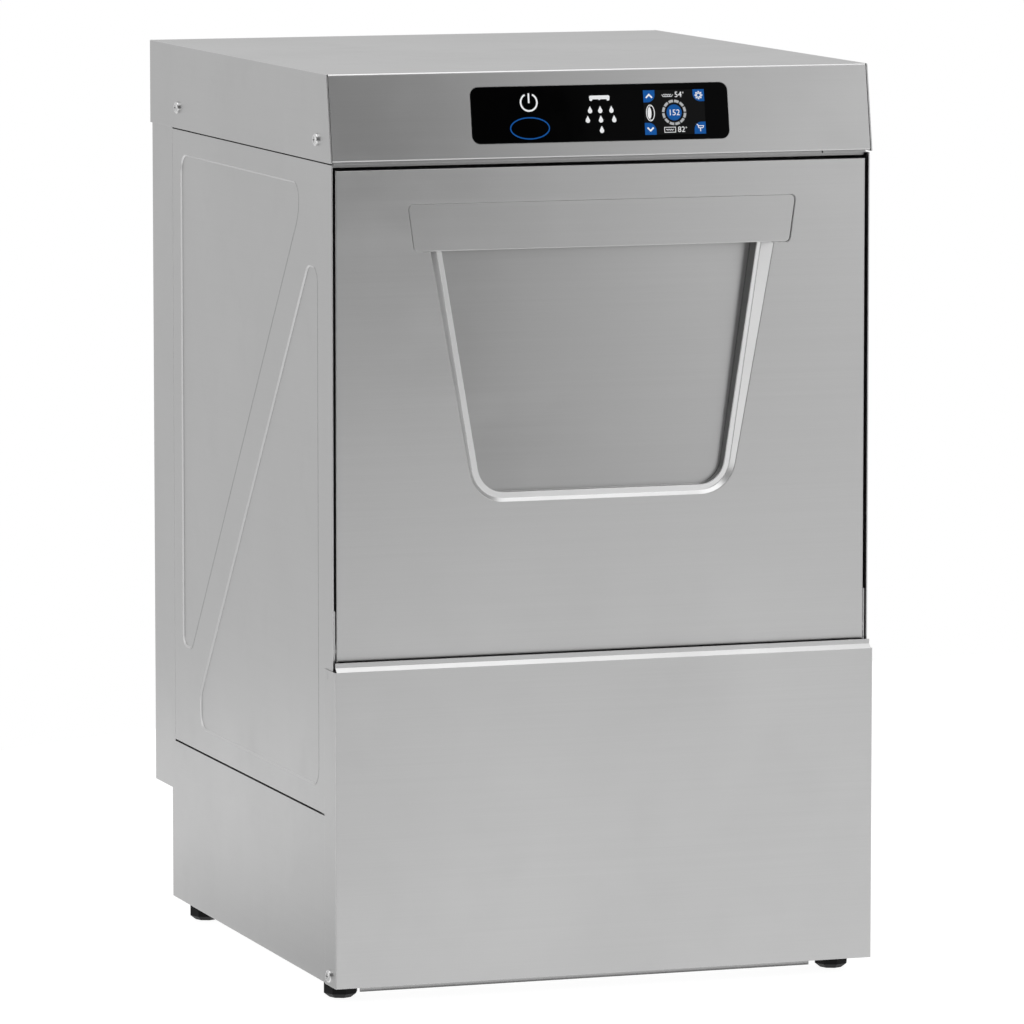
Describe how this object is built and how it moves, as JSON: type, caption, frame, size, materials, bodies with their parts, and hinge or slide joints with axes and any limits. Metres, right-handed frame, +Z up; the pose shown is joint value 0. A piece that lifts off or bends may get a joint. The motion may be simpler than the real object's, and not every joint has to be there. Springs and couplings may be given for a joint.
{
  "type": "undercounter commercial dishwasher",
  "caption": "Compact front-loading commercial dishwasher with a drop-down door, recessed grip and touch control strip.",
  "frame": {"origin": "on the floor, under the middle of the machine's bounding box", "axes": "+Z up, the door faces -Y, +X to the right of someone facing the door"},
  "size_m": [0.4272, 0.482, 0.685],
  "materials": {
    "brushed_sheet": "fine satin brushed stainless sheet",
    "chamber_sheet": "smooth pressed stainless sheet",
    "bright_steel": "bright stainless bar and screw stock",
    "control_black": "black glossy glass face",
    "display_black": "dark display face",
    "moulded_grey": "moulded engineering plastic",
    "board_green": "lacquered circuit board",
    "black_plastic": "matt black moulded plastic",
    "seal_rubber": "black elastomer",
    "pipe_plastic": "pale thick-walled pipe",
    "boiler_steel": "welded stainless vessel",
    "motor_paint": "dark painted motor housing",
    "box_plastic": "light grey enclosure",
    "magnet_black": "coated magnet"
  },
  "bodies": {
    "cabinet": {"base_tray": "brushed_sheet", "body_side_left": "brushed_sheet", "body_side_right": "brushed_sheet", "side_panel_left": "brushed_sheet", "side_panel_right": "brushed_sheet", "back_panel": "brushed_sheet", "lower_back_panel": "brushed_sheet", "top_hood": "brushed_sheet", "header_rail": "brushed_sheet", "lower_front_panel": "brushed_sheet", "hinge_posts": "brushed_sheet", "wash_chamber": "chamber_sheet", "sump_tank": "chamber_sheet", "tank_filter": "chamber_sheet", "filter_basket": "chamber_sheet", "rack_rails": "chamber_sheet", "panel_screws": "bright_steel", "back_panel_screws": "bright_steel", "hinge_pins": "bright_steel", "tank_heater": "bright_steel", "boiler_heater": "bright_steel", "control_glass": "control_black", "display_module": "display_black", "control_frame": "moulded_grey", "pump_volute": "moulded_grey", "arm_column": "moulded_grey", "upper_manifold": "moulded_grey", "standpipe": "moulded_grey", "drain_pump": "moulded_grey", "drain_connector": "moulded_grey", "control_board": "board_green", "cable_gland": "black_plastic", "dosing_pumps": "black_plastic", "inlet_valve": "black_plastic", "door_gasket": "seal_rubber", "suction_hose": "seal_rubber", "fill_hose": "seal_rubber", "wash_pipe": "pipe_plastic", "rinse_pipe": "pipe_plastic", "boiler": "boiler_steel", "pump_motor": "motor_paint", "control_box": "box_plastic"},
    "door": {"door_skin": "brushed_sheet", "door_liner": "chamber_sheet", "handle_plate": "brushed_sheet", "hinge_arms": "bright_steel", "door_magnet": "magnet_black"},
    "left_spring_rod": {"spring_rod_left": "bright_steel", "door_spring_left": "bright_steel"},
    "right_spring_rod": {"spring_rod_right": "bright_steel", "door_spring_right": "bright_steel"},
    "lower_wash": {"lower_wash_arm": "chamber_sheet"},
    "lower_rinse": {"lower_rinse_arm": "bright_steel"},
    "upper_wash": {"upper_wash_arm": "chamber_sheet"},
    "upper_rinse": {"upper_rinse_arm": "bright_steel"},
    "impeller": {"pump_impeller": "moulded_grey"},
    "foot_fl": {"foot_front_left": "black_plastic"},
    "foot_fr": {"foot_front_right": "black_plastic"},
    "foot_rl": {"foot_rear_left": "black_plastic"},
    "foot_rr": {"foot_rear_right": "black_plastic"}
  },
  "joints": [
    {"name": "door_hinge", "type": "hinge", "parent": "cabinet", "child": "door", "pos_m": [0, -0.225, 0.263], "axis": [1, 0, 0], "range_deg": [0, 90]},
    {"name": "left_spring_slide", "type": "slide", "parent": "cabinet", "child": "left_spring_rod", "axis": [0, 0, 1], "range_m": [0, 0.0301], "deforming": ["door_spring_left"]},
    {"name": "right_spring_slide", "type": "slide", "parent": "cabinet", "child": "right_spring_rod", "axis": [0, 0, 1], "range_m": [0, 0.0301], "deforming": ["door_spring_right"]},
    {"name": "lower_wash_spin", "type": "hinge", "parent": "cabinet", "child": "lower_wash", "pos_m": [0, 0.005, 0.28], "axis": [0, 0, 1], "continuous": true},
    {"name": "lower_rinse_spin", "type": "hinge", "parent": "cabinet", "child": "lower_rinse", "pos_m": [0, 0.005, 0.28], "axis": [0, 0, 1], "continuous": true},
    {"name": "upper_wash_spin", "type": "hinge", "parent": "cabinet", "child": "upper_wash", "pos_m": [0, 0.005, 0.57], "axis": [0, 0, 1], "continuous": true},
    {"name": "upper_rinse_spin", "type": "hinge", "parent": "cabinet", "child": "upper_rinse", "pos_m": [0, 0.005, 0.57], "axis": [0, 0, 1], "continuous": true},
    {"name": "pump_spin", "type": "hinge", "parent": "cabinet", "child": "impeller", "pos_m": [0.108, -0.15, 0.088], "axis": [0, 1, 0], "continuous": true},
    {"name": "foot_fl_screw", "type": "slide", "parent": "cabinet", "child": "foot_fl", "axis": [0, 0, 1], "range_m": [-0.02, 0]},
    {"name": "foot_fr_screw", "type": "slide", "parent": "cabinet", "child": "foot_fr", "axis": [0, 0, 1], "range_m": [-0.02, 0]},
    {"name": "foot_rl_screw", "type": "slide", "parent": "cabinet", "child": "foot_rl", "axis": [0, 0, 1], "range_m": [-0.02, 0]},
    {"name": "foot_rr_screw", "type": "slide", "parent": "cabinet", "child": "foot_rr", "axis": [0, 0, 1], "range_m": [-0.02, 0]}
  ],
  "couplings": [
    {"joint": "left_spring_slide", "follows": "door_hinge", "m_per_rad": 0.019099},
    {"joint": "right_spring_slide", "follows": "door_hinge", "m_per_rad": 0.019099}
  ]
}
